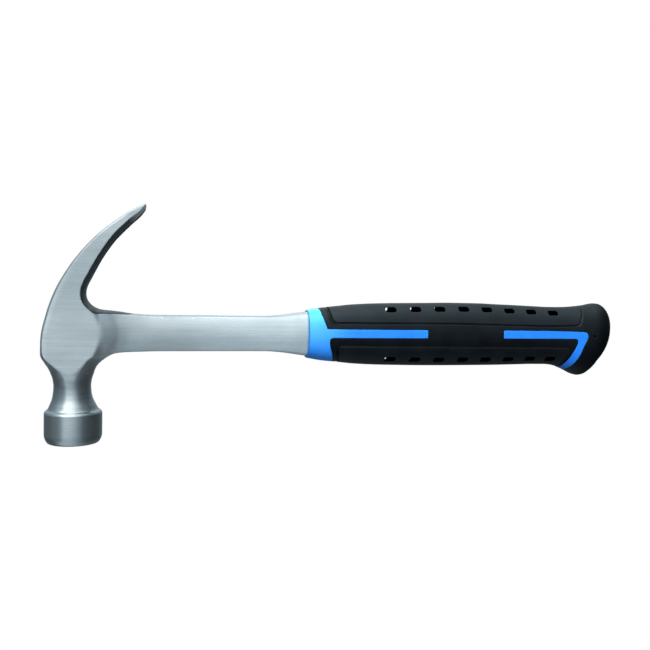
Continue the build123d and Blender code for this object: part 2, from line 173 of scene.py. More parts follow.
CONVEX = [(-15.5, -9.9), (-15.65, -6.5), (-15.65, -3.95), (-15.28, 0.04),
          (-14.5, 4.03), (-13.46, 8.02), (-12.36, 12.01), (-11.04, 16.02),
          (-9.47, 20.02), (-7.62, 24.04), (-5.44, 28.07), (-2.99, 32.12),
          (-0.27, 36.18), (2.88, 40.27), (6.35, 44.38), (10.3, 48.52),
          (14.88, 52.65), (20.15, 56.8), (26.1, 60.95), (31.2, 63.9),
          (33.4, 65.0)]
TIP = [(33.4, 65.0), (34.05, 65.4), (34.75, 65.1), (35.2, 64.1), (35.0, 62.8), (34.2, 61.2)]
CONCAVE = [(34.2, 61.2), (32.75, 59.2), (30.75, 57.05), (28.55, 54.95), (26.45, 52.85),
           (24.42, 50.85), (22.5, 48.88), (20.68, 46.89), (19.1, 44.81), (17.62, 42.75),
           (16.2, 40.69), (14.9, 38.64), (13.66, 36.58), (12.48, 34.54), (11.33, 32.5),
           (10.22, 30.46), (9.15, 28.42), (8.07, 26.38), (7.08, 24.35), (6.36, 22.33),
           (6.05, 20.31), (6.18, 18.3), (6.9, 16.3), (8.6, 14.2), (11.4, 12.5),
           (14.5, 11.65), (17.5, 11.25), (20.5, 10.95), (23.5, 10.6), (27.0, 9.6), (29.5, 8.4)]
# closes the claw and cheek plate inside the shank and the neck
PLATE_REST = [(27.0, 7.2), (17.0, 5.5), (12.0, 2.0), (10.0, -3.0), (9.6, -7.5), (9.0, -11.0),
              (7.5, -14.5), (3.0, -18.0), (-0.9, -20.4), (-5.2, -18.4), (-10.0, -15.0),
              (-14.2, -12.0)]
# z, left half-width, right half-width, centre, front radius
NECK = [(-60.0, 13.9, 13.9, 0.0, 13.9), (-41.0, 13.9, 13.9, 0.0, 13.9),
        (-40.0, 13.9, 13.9, 0.0, 13.9), (-38.2, 12.3, 12.1, 0.0, 12.3),
        (-36.2, 11.4, 11.0, 0.0, 11.35), (-34.2, 10.6, 9.96, 0.0, 10.55),
        (-32.2, 10.08, 9.24, 0.0, 10.05), (-30.2, 9.68, 8.92, -0.1, 9.78),
        (-28.2, 9.32, 8.92, -0.3, 9.72), (-26.2, 9.08, 9.08, -0.5, 9.85),
        (-24.0, 9.06, 9.66, -0.8, 10.28), (-22.8, 9.1, 10.1, -1.0, 10.52),
        (-22.0, 9.25, 10.45, -1.1, 10.6), (-20.0, 9.6, 11.5, -1.5, 10.9),
        (-18.0, 10.2, 12.35, -1.8, 11.6), (-16.0, 11.0, 13.3, -2.1, 12.75),
        (-14.0, 11.95, 14.4, -2.4, 14.2), (-12.2, 12.8, 15.1, -2.5, 15.6),
        (-10.6, 13.2, 15.5, -2.5, 16.6), (-8.0, 13.1, 15.5, -2.5, 17.0),
        (-4.0, 12.4, 15.2, -2.5, 17.0), (4.0, 10.0, 12.0, -2.0, 16.0)]
SHANK = [(-8.0, 9.4, -9.6, 12.2, 0.9), (4.0, 9.7, -9.6, 12.0, 0.9),
         (9.0, 10.1, -11.0, 11.45, 0.8), (11.3, 10.4, -11.1, 11.05, 0.8),
         (14.4, 10.6, -11.25, 10.2, 0.85), (18.7, 10.75, -10.6, 9.0, 0.95),
         (22.5, 10.65, -9.98, 7.95, 1.1), (27.6, 10.15, -9.65, 7.2, 1.25),
         (33.6, 9.6, -9.5, 6.83, 1.35), (40.0, 9.42, -9.33, 6.62, 1.35),
         (48.0, 9.42, -9.3, 6.5, 1.35), (63.0, 9.45, -9.3, 6.4, 1.35),
         (84.0, 9.4, -9.3, 6.4, 1.35), (96.8, 9.45, -9.35, 6.4, 1.35),
         (105.5, 10.1, -9.95, 6.45, 1.6), (114.3, 11.35, -11.15, 6.7, 2.3),
         (119.6, 11.95, -11.8, 6.8, 2.7), (124.0, 11.95, -11.8, 6.6, 2.7),
         (132.0, 11.0, -11.0, 5.6, 2.0), (145.0, 9.0, -9.0, 4.6, 0.9),
         (160.0, 8.4, -8.4, 4.2, 0.7), (262.0, 8.0, -8.0, 4.0, 0.7),
         (266.0, 7.0, -7.0, 3.6, 0.6)]

neck_l, neck_r, neck_c, neck_f = (column(NECK, k) for k in (1, 2, 3, 4))
sh_top, sh_bot, sh_half, sh_crown = (column(SHANK, k) for k in (1, 2, 3, 4))

PLATE = np.vstack([spline(CONVEX, 6)[:-1], spline(TIP, 4)[:-1], spline(CONCAVE, 6)[:-1],
                   spline([CONCAVE[-1]] + PLATE_REST + [CONVEX[0]], 4)[1:-1]])


def claw_half(z):
    t = np.clip((z - 8.0) / 46.0, 0, 1)
    return CHEEK_HALF + (CLAW_HALF - CHEEK_HALF) * t * t * (3 - 2 * t)


_conv = spline(CONVEX, 4)
_conc = spline(CONCAVE, 4)
plate_sd = Map2(lambda x, z: outline_distance(PLATE, x, z), -24, 42, -34, 74, 0.25)
conv_d = Map2(lambda x, z: curve_distance(_conv, x, z), -24, 42, -34, 74, 0.25)
conc_d = Map2(lambda x, z: curve_distance(_conc, x, z), -24, 42, -34, 74, 0.25)


def half_at(x, z):
    """Half thickness beside the cheek; the cheek ends in an arc."""
    bow = 3.0 * np.clip(np.abs(z - 0.6) / 9.5, 0, 1.2) ** 2 * np.clip((32.0 - x) / 10.0, 0, 1)
    return sh_half(x + bow)


def shank_field(x, y, z, soft=0.5):
    top, bot, half, crown = sh_top(x), sh_bot(x), half_at(x, z), sh_crown(x)
    zc, b = (top + bot) / 2, (top - bot) / 2
    v = (z - zc) / b
    side = np.abs(y) - half + crown * np.minimum(v * v, 2.0)
    flare = np.clip((x - 98.0) / 18.0, 0, 1)
    cap = np.abs(z - zc) - b + (0.5 + 0.6 * flare) * np.minimum((y / (half - crown)) ** 2, 2.0)
    slope = 1.0 / np.sqrt(1 + (np.gradient(sh_half(np.linspace(-8, 266, 1097)), 0.25)[
        np.clip(((x + 8) * 4).astype(int), 0, 1096)]) ** 2)
    d = smax(side * slope, cap, soft + 1.2 * flare)
    return np.maximum(smax(d, x - 266.0, 0.8), -7.0 - x)


def neck_field(x, y, z):
    c = neck_c(z)
    right = x > c
    a, b = np.where(right, neck_r(z), neck_l(z)), neck_f(z)
    up = np.clip((z + 18.5) / 7.0, 0, 1)
    n = 2.0 + np.where(right, -0.26, 0.5) * up
    u, v = np.abs(x - c) / a + 1e-6, np.abs(y) / b + 1e-6
    rho = (u ** n + v ** n) ** (1 / n)
    g = np.sqrt(((u / rho) ** (n - 1) / a) ** 2 + ((v / rho) ** (n - 1) / b) ** 2)
    d = (rho - 1) / (g + 1e-6)
    dr = (neck_r(z + 0.1) - neck_r(z - 0.1)) / 0.2
    return np.maximum(d / np.sqrt(1 + np.minimum(dr * dr, 2.0)), z - 2.0)


def poll_field(x, y, z):
    rho = np.sqrt(x * x + y * y)
    wall = rho - POLL_R
    bev = ((rho - POLL_R) * (RIM_Z - FACE_Z) + (RIM_Z - z) * (POLL_R - FACE_R)) / math.hypot(
        RIM_Z - FACE_Z, POLL_R - FACE_R)
    R = (FACE_R ** 2 + CROWN ** 2) / (2 * CROWN)
    face = np.maximum(np.sqrt(rho ** 2 + (z - (FACE_Z - CROWN + R)) ** 2) - R, -LIFT - z)
    d = smax(smax(wall, bev, 1.3), face, 0.6)
    return smax(d, z - SHOULDER_Z, 0.5)


def notch_field(x, y, z, dv, dc):
    """Inside of the nail notch, bevelled on both faces and wider on the concave one."""
    ay = np.abs(y)
    a = 1.1 + np.maximum(z - 27.5, 0) * 0.068
    root = 26.6 - z
    bev_c = np.clip((z - 25.0) / 12.0, 0, 1) * np.maximum(4.6 - dc, 0) * 0.95
    bev_v = np.clip((z - 27.0) / 12.0, 0, 1) * np.maximum(1.6 - dv, 0) * 0.7
    gap = smax(ay - a - bev_c - bev_v, root * 0.9, 1.2)
    return np.where(z > 18.0, gap, 9.0)


def forging_field(x, y, z):
    ay = np.abs(y)
    w = claw_half(z)
    sd = plate_sd(x, z)
    dv, dc = conv_d(x, z), conc_d(x, z)
    # the convex back is a little crowned, the concave side more so
    wv = dc / (dv + dc + 1e-6)
    wv = wv * wv * (3 - 2 * wv)
    tip = np.clip((66.5 - z) / 9.0, 0.6, 1)
    rise = np.clip((z - 30) / 25.0, 0, 1)
    hook = 0.8 * np.clip((z - 44.0) / 12.0, 0, 1)
    drop = ((1.25 - 0.5 * rise) * wv + (2.25 + 0.45 * rise + hook) * (1 - wv)) * tip
    q = np.minimum(ay / w, 1.3)
    plate = sd + drop * q * q
    # the web beside the handle is no thicker than the handle
    top, bot = sh_top(x), sh_bot(x)
    v = (z - (top + bot) / 2) / ((top - bot) / 2)
    side = ay - half_at(x, z) + sh_crown(x) * np.clip(v * v, 0.0, 1.5) + 0.35
    side = side - 3.0 * np.clip((z - 11.5) / 7.0, 0, 1) - 1.7 * np.clip((12.5 - x) / 6.0, 0, 1)
    plate = smax(plate, np.where(z > 22.0, -9.0, side), 0.8)
    body = smin(neck_field(x, y, z), shank_field(x, y, z), 4.5 + 4.5 * np.clip(1 - ay / 9.0, 0, 1))
    near = np.exp(-((x - 15.0) / 7.0) ** 2 - ((z - 12.0) / 2.6) ** 2)
    solid = smin(plate, body, 0.5 + 1.5 * near)
    # the ground flat rolls off gently along the back of the cheek
    roll = 0.7 * np.clip(1 - dv / 4.0, 0, 1) ** 2 * np.clip((34.0 - z) / 14.0, 0, 1) * np.clip((z + 16.0) / 6.0, 0, 1)
    flats = np.where(z > -27.5, ay - w + roll, -50.0)
    solid = smax(solid, flats, 0.5)
    # below the neck the flats stop and the poll begins
    solid = np.where(z < -24.0, np.maximum(neck_field(x, y, z), SHOULDER_Z - 0.4 - z), solid)
    solid = smin(solid, poll_field(x, y, z), 0.25)
    return smax(solid, -notch_field(x, y, z, dv, dc), 0.4)


# -------------------------------------------------------------- the grip
GRIP = [(119.6, 12.9, -12.85, 9.75), (122.0, 13.4, -13.3, 10.0),
        (125.5, 13.95, -13.95, 10.3), (129.0, 14.45, -14.45, 10.6),
        (136.0, 15.25, -15.13, 11.1), (146.0, 16.3, -16.18, 11.6),
        (158.0, 17.0, -16.83, 11.9), (172.0, 17.4, -17.18, 12.0),
        (188.0, 17.7, -17.43, 12.0), (204.0, 18.02, -17.51, 12.0),
        (220.0, 17.95, -17.49, 12.0), (232.0, 17.56, -17.43, 12.0),
        (244.0, 17.2, -17.23, 12.0), (255.0, 16.8, -17.08, 12.05),
        (263.0, 16.5, -17.13, 12.2), (267.0, 16.45, -17.43, 12.3),
        (271.0, 16.47, -18.23, 12.4), (275.0, 16.55, -19.63, 12.6),
        (279.0, 16.75, -21.43, 12.8), (283.0, 17.15, -23.23, 13.0),
        (285.44, 17.4, -23.75, 13.0), (287.62, 17.7, -23.4, 13.0),
        (290.25, 18.08, -21.95, 12.9), (293.04, 18.7, -19.6, 12.6),
        (295.43, 19.02, -16.85, 12.0), (297.65, 18.9, -14.62, 11.2),
        (299.55, 18.05, -12.35, 10.2), (301.25, 16.7, -10.04, 9.0),
        (302.6, 15.15, -7.7, 7.8), (303.75, 13.4, -5.58, 6.4),
        (304.6, 11.9, -3.15, 5.2), (305.25, 10.2, -0.73, 3.9),
        (305.65, 8.2, 1.6, 2.6), (305.9, 6.2, 3.7, 1.3)]
GRIP_N = 2.3
g_top, g_bot, g_half = (column(GRIP, k) for k in (1, 2, 3))
CORE = [(119.6, 12.3, -12.2, 8.2), (130.0, 12.9, -12.9, 8.2), (145.0, 11.2, -11.2, 8.0),
        (170.0, 10.8, -10.8, 8.0), (240.0, 10.8, -10.8, 8.0), (268.0, 10.6, -10.6, 8.0),
        (275.0, 9.0, -9.0, 6.6)]
c_top, c_bot, c_half = (column(CORE, k) for k in (1, 2, 3))

STRIPE_Z0, STRIPE_Z1 = -1.6, 3.15
COLLAR = np.vstack([[(110.0, -30.0), (110.0, 30.0), (125.9, 30.0)],
                    spline([(125.9, 16.0), (126.5, 11.6), (127.4, 8.5), (129.3, STRIPE_Z1)], 5)[:-1],
                    [(129.3, STRIPE_Z1), (185.6, STRIPE_Z1), (186.0, STRIPE_Z1 - 0.4),
                     (186.0, STRIPE_Z0 + 0.4), (185.6, STRIPE_Z0)],
                    spline([(132.4, STRIPE_Z0), (131.2, -2.1), (130.75, -3.5), (131.2, -6.6),
                            (132.6, -10.4), (134.3, -16.5)], 5),
                    [(134.3, -30.0)]])
CHEVRON = np.vstack([[(231.5, STRIPE_Z0 + 0.4), (231.5, STRIPE_Z1 - 0.4), (231.9, STRIPE_Z1),
                      (262.0, 3.0)],
                     spline([(281.5, 2.6), (284.3, 2.0), (285.1, 0.4), (284.7, -1.6),
                             (282.5, -6.0), (280.2, -12.2), (277.9, -17.0), (276.3, -20.0)], 5),
                     [(274.0, -30.0), (268.0, -30.0)],
                     spline([(272.3, -20.0), (273.3, -15.6), (275.0, -12.2), (276.75, -8.0),
                             (278.4, -4.0), (278.3, -2.3), (277.0, STRIPE_Z0)], 5),
                     [(231.9, STRIPE_Z0)]])
UPPER = np.vstack([[(130.9, 40.0)],
                   spline([(130.9, 17.5), (131.7, 10.6), (132.7, 7.6), (134.1, 6.65)], 5),
                   spline([(200.0, 6.8), (278.0, 6.45), (279.9, 7.3), (281.8, 11.1),
                           (283.1, 14.0), (284.6, 17.8)], 5),
                   [(284.6, 40.0)]])
LOWER = np.vstack([[(138.0, -40.0)],
                   spline([(138.0, -17.5), (136.4, -12.5), (135.7, -7.6), (136.9, -6.3)], 5),
                   [(205.0, -6.6)],
                   spline([(273.0, -7.1), (274.8, -8.6), (273.6, -11.6), (271.8, -15.4),
                           (270.8, -20.0)], 5),
                   [(268.0, -40.0)]])
SLOTS = []
for _i, _x in enumerate((165.4, 179.85, 194.2, 208.6, 222.75, 236.8, 250.5, 264.45)):
    SLOTS.append((_x, float(g_top(_x)) - 3.5))
    SLOTS.append((_x - (1.2 if _i == 7 else 0.0), float(g_bot(_x)) + 3.8))


def oval_field(x, y, z, top, bot, half, n=GRIP_N):
    t, b, a = top(x), bot(x), half(x)
    zc, hb = (t + b) / 2, (t - b) / 2
    u, v = np.abs(y) / a + 1e-9, np.abs(z - zc) / hb + 1e-9
    rho = (u ** n + v ** n) ** (1 / n)
    gy = (u / rho) ** (n - 1) / a
    gz = (v / rho) ** (n - 1) / hb
    return (rho - 1) / np.sqrt(gy * gy + gz * gz)


def rounded_box(x, z, cx, cz, hx, hz, r):
    qx, qz = np.abs(x - cx) - hx + r, np.abs(z - cz) - hz + r
    return (np.sqrt(np.maximum(qx, 0) ** 2 + np.maximum(qz, 0) ** 2)
            + np.minimum(np.maximum(qx, qz), 0) - r)


def slots_field(x, z):
    d = np.full(np.broadcast(x, z).shape, 1e3)
    for cx, cz in SLOTS:
        d = np.minimum(d, rounded_box(x, z, cx, cz, 3.2, 1.3, 1.2))
    return d


gx0, gx1, gz0, gz1, gh = 112.0, 314.0, -32.0, 26.0, 0.25
blue_sd = Map2(lambda x, z: np.minimum(outline_distance(COLLAR, x, z),
                                       outline_distance(CHEVRON, x, z)), gx0, gx1, gz0, gz1, gh)
up_sd = Map2(lambda x, z: outline_distance(UPPER, x, z), gx0, gx1, gz0, gz1, gh)
low_sd = Map2(lambda x, z: outline_distance(LOWER, x, z), gx0, gx1, gz0, gz1, gh)
slot_sd = Map2(slots_field, gx0, gx1, gz0, gz1, gh)


# ----------------------------------------------------- meshing of a field
def surface_net(F, xs, ys, zs):
    """Closed quad mesh of F = 0 on a rectilinear grid, one vertex per cell."""
    S = F < 0
    nx, ny, nz = F.shape
    acc = np.zeros((nx - 1, ny - 1, nz - 1, 3), np.float32)
    cnt = np.zeros((nx - 1, ny - 1, nz - 1), np.int16)
    axes = (xs, ys, zs)
    quads = []
    crossings = []
    for ax in range(3):
        lo = [slice(None)] * 3
        hi = [slice(None)] * 3
        lo[ax], hi[ax] = slice(0, -1), slice(1, None)
        a, b = F[tuple(lo)], F[tuple(hi)]
        m = S[tuple(lo)] != S[tuple(hi)]
        idx = np.argwhere(m)
        fa, fb = a[m], b[m]
        t = fa / (fa - fb)
        p = np.empty((len(idx), 3), np.float32)
        for k in range(3):
            c = axes[k]
            if k == ax:
                p[:, k] = c[idx[:, k]] + t * (c[idx[:, k] + 1] - c[idx[:, k]])
            else:
                p[:, k] = c[idx[:, k]]
        o = [k for k in range(3) if k != ax]
        for d0 in (0, 1):
            for d1 in (0, 1):
                c = idx.copy()
                c[:, o[0]] -= d0
                c[:, o[1]] -= d1
                ok = np.all(c >= 0, axis=1) & (c[:, 0] < nx - 1) & (c[:, 1] < ny - 1) & (c[:, 2] < nz - 1)
                ci = c[ok]
                np.add.at(acc, (ci[:, 0], ci[:, 1], ci[:, 2]), p[ok])
                np.add.at(cnt, (ci[:, 0], ci[:, 1], ci[:, 2]), 1)
        crossings.append((ax, idx, fa < 0))
    used = cnt > 0
    vid = np.full(used.shape, -1, np.int64)
    vid[used] = np.arange(used.sum())
    verts = (acc[used] / cnt[used][:, None]).astype(np.float64)
    for ax, idx, neg in crossings:
        o = [k for k in range(3) if k != ax]
        if ax == 1:
            o = o[::-1]
        inner = (idx[:, o[0]] > 0) & (idx[:, o[1]] > 0)
        idx, neg = idx[inner], neg[inner]
        q = []
        for d0, d1 in ((1, 1), (0, 1), (0, 0), (1, 0)):
            c = idx.copy()
            c[:, o[0]] -= d0
            c[:, o[1]] -= d1
            q.append(vid[c[:, 0], c[:, 1], c[:, 2]])
        q = np.stack(q, 1)
        q[~neg] = q[~neg][:, ::-1]
        quads.append(q)
    return verts, np.vstack(quads)


def mesh_field(fn, xs, yh, zs, polish=2):
    """Mesh of fn(x, y, z) = 0 for a body symmetric about y = 0, vertices pulled onto the field."""
    xs, zs = np.asarray(xs, float), np.asarray(zs, float)
    half = np.asarray(yh, float)                     # 0 .. W
    F = np.empty((len(xs), len(half), len(zs)), np.float32)
    step = max(1, int(4e5 // (len(half) * len(zs))))
    for i in range(0, len(xs), step):
        F[i:i + step] = fn(xs[i:i + step, None, None], half[None, :, None], zs[None, None, :])
    full = np.concatenate([F[:, :0:-1], F], axis=1)
    ys = np.concatenate([-half[:0:-1], half])
    v, q = surface_net(full, xs, ys, zs)
    eps = 0.06
    for _ in range(polish):
        f0 = fn(v[:, 0], v[:, 1], v[:, 2])
        g = field_normal(fn, v, eps)
        l2 = np.maximum((g ** 2).sum(1), 0.05)
        move = -f0 / l2
        v = v + g * np.clip(move, -0.25, 0.25)[:, None]
    n = field_normal(fn, v, 0.12)
    n /= np.linalg.norm(n, axis=1)[:, None] + 1e-9
    return v, q, n


def field_normal(fn, v, e):
    g = np.empty_like(v)
    for k in range(3):
        d = np.zeros(3)
        d[k] = e
        g[:, k] = (fn(*(v + d).T) - fn(*(v - d).T)) / (2 * e)
    return g


def grow(start, stop, fine, coarse, ramps):
    """Grid lines from start to stop: fine inside the ramps' spans, coarse outside."""
    out = [start]
    while out[-1] < stop:
        x = out[-1]
        d = min(max(a - x, x - b, 0.0) for a, b in ramps)
        out.append(x + min(coarse, fine + d * 0.12))
    return np.array(out)


# -------------------------------------------------- fields of the grip parts
def grip_field(x, y, z):
    f = oval_field(x, y, z, g_top, g_bot, g_half)
    fx = (oval_field(x + 0.15, y, z, g_top, g_bot, g_half) - f) / 0.15
    f = f / np.sqrt(1 + np.minimum(fx * fx, 400.0))
    f = smax(f, x - 305.97, 0.5)
    return smax(f, 119.9 - x, 0.35)


def core_field(x, y, z):
    f = oval_field(x, y, z, c_top, c_bot, c_half)
    return np.maximum(np.maximum(f, x - 275.0), 119.7 - x)


def seam(d, centre, width, depth):
    """Shallow channel along a distance field d."""
    t = np.clip(1 - np.abs(d - centre) / (width / 2), 0, 1)
    return depth * t * t * (3 - 2 * t)


def blue_field(x, y, z):
    g = grip_field(x, y, z)
    # narrow recess round the steel at the mouth of the collar, only where the wall is thick
    mouth = np.maximum(np.maximum(shank_field(x, y, z) - 1.5, x - 122.0), g + 0.75)
    skin = smax(g - 0.05, blue_sd(x, z), 0.45)
    d = np.minimum(skin, core_field(x, y, z) + 0.1)
    return smax(d, -mouth, 0.2)


def dimple(x, y, z):
    return np.sqrt((x - 289.3) ** 2 + (z + 0.2) ** 2) - 0.85


def shell_field(x, y, z):
    b, u, l = blue_sd(x, z), up_sd(x, z), low_sd(x, z)
    g = grip_field(x, y, z)
    g = g + seam(u, 0.5, 0.95, 0.5) + seam(l, 0.5, 0.95, 0.42)
    g = g + seam(u, 1.55, 0.7, 0.3) * np.clip((136.0 - x) / 2.0, 0, 1)
    d = smax(g, -0.15 - b, 0.2)
    d = smax(d, 0.05 - u, 0.2)
    d = smax(d, 0.05 - l, 0.2)
    d = smax(d, -smax(dimple(x, y, z), 11.4 - np.abs(y), 0.3), 0.25)
    return np.maximum(d, -core_field(x, y, z))


def pad_field(sd):
    def f(x, y, z):
        g = grip_field(x, y, z) - 0.03
        d = smax(g, sd(x, z) + 0.06, 0.4)
        d = smax(d, -slot_sd(x, z) - 0.35 * np.clip(1 - np.abs(y) / 7.0, 0, 1), 0.3)
        return np.maximum(d, -core_field(x, y, z))
    return f


# ---------------------------------------------------------------- Blender
import bpy
from mathutils import Matrix, Vector


def make_piece(name, node, v, q, n, material):
    me = bpy.data.meshes.new(name)
    w = v.copy()
    w[:, 2] += LIFT
    w /= 1000.0
    me.vertices.add(len(w))
    me.vertices.foreach_set("co", w.astype(np.float32).ravel())
    me.loops.add(len(q) * 4)
    me.loops.foreach_set("vertex_index", q.astype(np.int32).ravel())
    me.polygons.add(len(q))
    me.polygons.foreach_set("loop_start", np.arange(0, len(q) * 4, 4, dtype=np.int32))
    me.update(calc_edges=True)
    me.validate()
    me.polygons.foreach_set("use_smooth", np.ones(len(me.polygons), bool))
    me.normals_split_custom_set_from_vertices(n.astype(np.float32))
    me.materials.append(material)
    o = bpy.data.objects.new(name, me)
    bpy.context.scene.collection.objects.link(o)
    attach(o, "root")
    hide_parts(node)
    return o


def slot_shade_layer(o, v):
    """Marks the walls of the slots, below the outer surface, where painted shade goes."""
    depth = -grip_field(v[:, 0], v[:, 1], v[:, 2])
    layer = o.data.attributes.new("inner", "FLOAT", "POINT")
    layer.data.foreach_set("value", np.clip((depth - 0.25) / 0.4, 0, 1).astype(np.float32))


class Nodes:
    """Short way to write a node tree."""

    def __init__(self, tree):
        self.t = tree
        tree.nodes.clear()

    def new(self, kind, inputs=None, **props):
        n = self.t.nodes.new(kind)
        for k, val in props.items():
            setattr(n, k, val)
        for k, val in (inputs or {}).items():
            s = n.inputs[k]
            if isinstance(val, bpy.types.NodeSocket):
                self.t.links.new(val, s)
            else:
                s.default_value = val
        return n

    def math(self, op, a, b=0.0, c=None, clamp=False):
        ins = {0: a, 1: b}
        if c is not None:
            ins[2] = c
        return self.new("ShaderNodeMath", ins, operation=op, use_clamp=clamp).outputs[0]

    def ramp(self, value, lo, hi, a=0.0, b=1.0, smooth=True):
        n = self.new("ShaderNodeMapRange", {0: value, 1: lo, 2: hi, 3: a, 4: b},
                     interpolation_type="SMOOTHSTEP" if smooth else "LINEAR")
        return n.outputs[0]

    def noise(self, vec, scale, detail=3.0, rough=0.5, dist=0.0):
        return self.new("ShaderNodeTexNoise", {"Vector": vec, "Scale": scale, "Detail": detail,
                                               "Roughness": rough, "Distortion": dist}).outputs["Fac"]

    def scaled(self, vec, sx, sy, sz):
        return self.new("ShaderNodeMapping", {"Vector": vec, "Scale": (sx, sy, sz)}).outputs[0]

    def mix(self, fac, a, b):
        n = self.new("ShaderNodeMix", data_type="RGBA")
        for s, val in ((n.inputs[0], fac), (n.inputs[6], a), (n.inputs[7], b)):
            if isinstance(val, bpy.types.NodeSocket):
                self.t.links.new(val, s)
            else:
                s.default_value = val
        return n.outputs[2]


def steel_material():
    m = bpy.data.materials.new("ground_steel")
    m.use_nodes = True
    N = Nodes(m.node_tree)
    geo = N.new("ShaderNodeTexCoord")
    p = geo.outputs["Object"]                         # metres
    x, y, z = N.new("ShaderNodeSeparateXYZ", {0: p}).outputs
    # long fine scratches along the handle, cloudier patches beneath
    fine = N.noise(N.scaled(p, 24, 600, 2600), 1.0, 4.0, 0.6)
    mid = N.noise(N.scaled(p, 22, 220, 700), 1.0, 3.0, 0.55)
    cloud = N.noise(N.scaled(p, 45, 120, 110), 1.0, 2.0, 0.5)
    grain = N.math("ADD", N.math("MULTIPLY", fine, 0.5), N.math("MULTIPLY", mid, 0.5))
    tone = N.math("ADD", N.math("MULTIPLY", grain, 0.6), N.math("MULTIPLY", cloud, 0.4))
    col = N.new("ShaderNodeValToRGB", {0: tone})
    col.color_ramp.elements[0].position = 0.30
    col.color_ramp.elements[0].color = (0.42, 0.475, 0.49, 1)
    col.color_ramp.elements[1].position = 0.72
    col.color_ramp.elements[1].color = (0.62, 0.69, 0.715, 1)
    # the ground shank is a little brighter towards the grip
    lift = N.ramp(x, 0.035, 0.110, 1.0, 1.42)
    lit = N.new("ShaderNodeVectorMath", {0: col.outputs[0], 3: lift}, operation="SCALE").outputs[0]
    # the inside of the claws and their root keep the dark forged skin
    att = N.new("ShaderNodeAttribute", attribute_name="forged")
    blotch = N.noise(p, 420.0, 4.0, 0.6)
    skin = N.mix(N.ramp(blotch, 0.35, 0.7), (0.050, 0.066, 0.075, 1), (0.115, 0.145, 0.16, 1))
    edge = N.math("ADD", att.outputs["Fac"], N.ramp(blotch, 0.2, 0.8, -0.12, 0.12, False))
    dark = N.ramp(edge, 0.30, 0.62)
    base = N.mix(dark, lit, skin)
    rough = N.math("ADD", N.ramp(tone, 0.3, 0.7, 0.34, 0.24, False), N.math("MULTIPLY", dark, 0.12))
    # the turned neck and poll are polished finer than the ground flats
    rough = N.math("SUBTRACT", rough, N.ramp(z, 0.040, 0.031, 0.0, 0.08))
    bump = N.new("ShaderNodeBump", {"Strength": 0.20, "Distance": 0.00003, "Height": grain})
    b = N.new("ShaderNodeBsdfPrincipled", {"Base Color": base, "Metallic": N.ramp(z, 0.040, 0.031, 0.88, 0.935),
                                           "Roughness": rough, "Normal": bump.outputs[0]})
    N.new("ShaderNodeOutputMaterial", {0: b.outputs[0]})
    return m


def plastic_material(name, dark, light, rough, grain_scale, grain_depth, spec, tint, painted_light_colour=None):
    m = bpy.data.materials.new(name)
    m.use_nodes = True
    N = Nodes(m.node_tree)
    p = N.new("ShaderNodeTexCoord").outputs["Object"]
    x, y, z = N.new("ShaderNodeSeparateXYZ", {0: p}).outputs
    cloud = N.noise(p, 90.0, 3.0, 0.55)
    fine = N.noise(p, grain_scale, 2.0, 0.6)
    scuff = N.noise(N.scaled(p, 120, 600, 900), 1.0, 3.0, 0.6)
    tone = N.math("ADD", N.math("MULTIPLY", cloud, 0.7), N.math("MULTIPLY", fine, 0.3))
    col = N.mix(N.ramp(tone, 0.35, 0.65), (*dark, 1), (*light, 1))
    if painted_light_colour:
        # painted light: the collar is painted paler towards the head and towards its top, where the light falls on it
        t = N.math("MULTIPLY", N.ramp(x, 0.148, 0.120), N.ramp(z, 0.042, 0.068, 0.15, 1.0))
        col = N.mix(t, col, (*painted_light_colour, 1))
        # painted highlight: a cyan band along the top of the collar near the head
        t = N.math("MULTIPLY", N.ramp(x, 0.140, 0.124), N.ramp(z, 0.060, 0.069))
        col = N.mix(t, col, (0.125, 0.66, 0.80, 1))
    r = N.math("ADD", N.ramp(scuff, 0.35, 0.7, -0.05, 0.05, False), rough)
    bump = N.new("ShaderNodeBump", {"Strength": 0.5, "Distance": grain_depth, "Height": fine})
    # painted sheen: the specular level is raised on faces turned up, and a little on faces turned down, as if lit from
    # above and below; the rest is dull
    nz = N.new("ShaderNodeSeparateXYZ", {0: N.new("ShaderNodeNewGeometry").outputs["Normal"]}).outputs[2]
    painted_sheen = N.ramp(nz, -0.14, 0.14, spec[0], spec[1])
    painted_sheen = N.math("ADD", painted_sheen, N.math("ADD", N.ramp(nz, 0.2, 0.8, 0.0, spec[2]), N.ramp(nz, -0.3, -0.8, 0.0, spec[3])))
    # painted shade: the walls of the slots are painted near black and lose their sheen
    inner = N.new("ShaderNodeAttribute", attribute_name="inner").outputs["Fac"]
    painted_sheen = N.math("MULTIPLY", painted_sheen, N.math("SUBTRACT", 1.0, inner))
    col = N.mix(inner, col, (0.0012, 0.0014, 0.0016, 1))
    b = N.new("ShaderNodeBsdfPrincipled", {"Base Color": col, "Roughness": r, "Specular IOR Level": painted_sheen,
                                           "Specular Tint": (*tint, 1), "Normal": bump.outputs[0]})
    N.new("ShaderNodeOutputMaterial", {0: b.outputs[0]})
    return m


steel = steel_material()
blue = plastic_material("blue_plastic", (0.018, 0.225, 0.90), (0.023, 0.255, 0.98), 0.42, 2600.0, 0.00002,
                        (0.10, 0.30, 0.0, 0.2), (0.9, 1.0, 1.0), (0.095, 0.53, 1.0))
black = plastic_material("black_shell", (0.0022, 0.0028, 0.0036), (0.0040, 0.0050, 0.0064), 0.42, 3200.0, 0.00004,
                         (0.07, 0.32, 0.30, 0.20), (0.75, 0.93, 1.0))
pad_black = plastic_material("black_pad", (0.0028, 0.0037, 0.0048), (0.0056, 0.0072, 0.0092), 0.48, 2400.0, 0.00005,
                             (0.10, 0.38, 0.40, 0.25), (0.75, 0.93, 1.0))


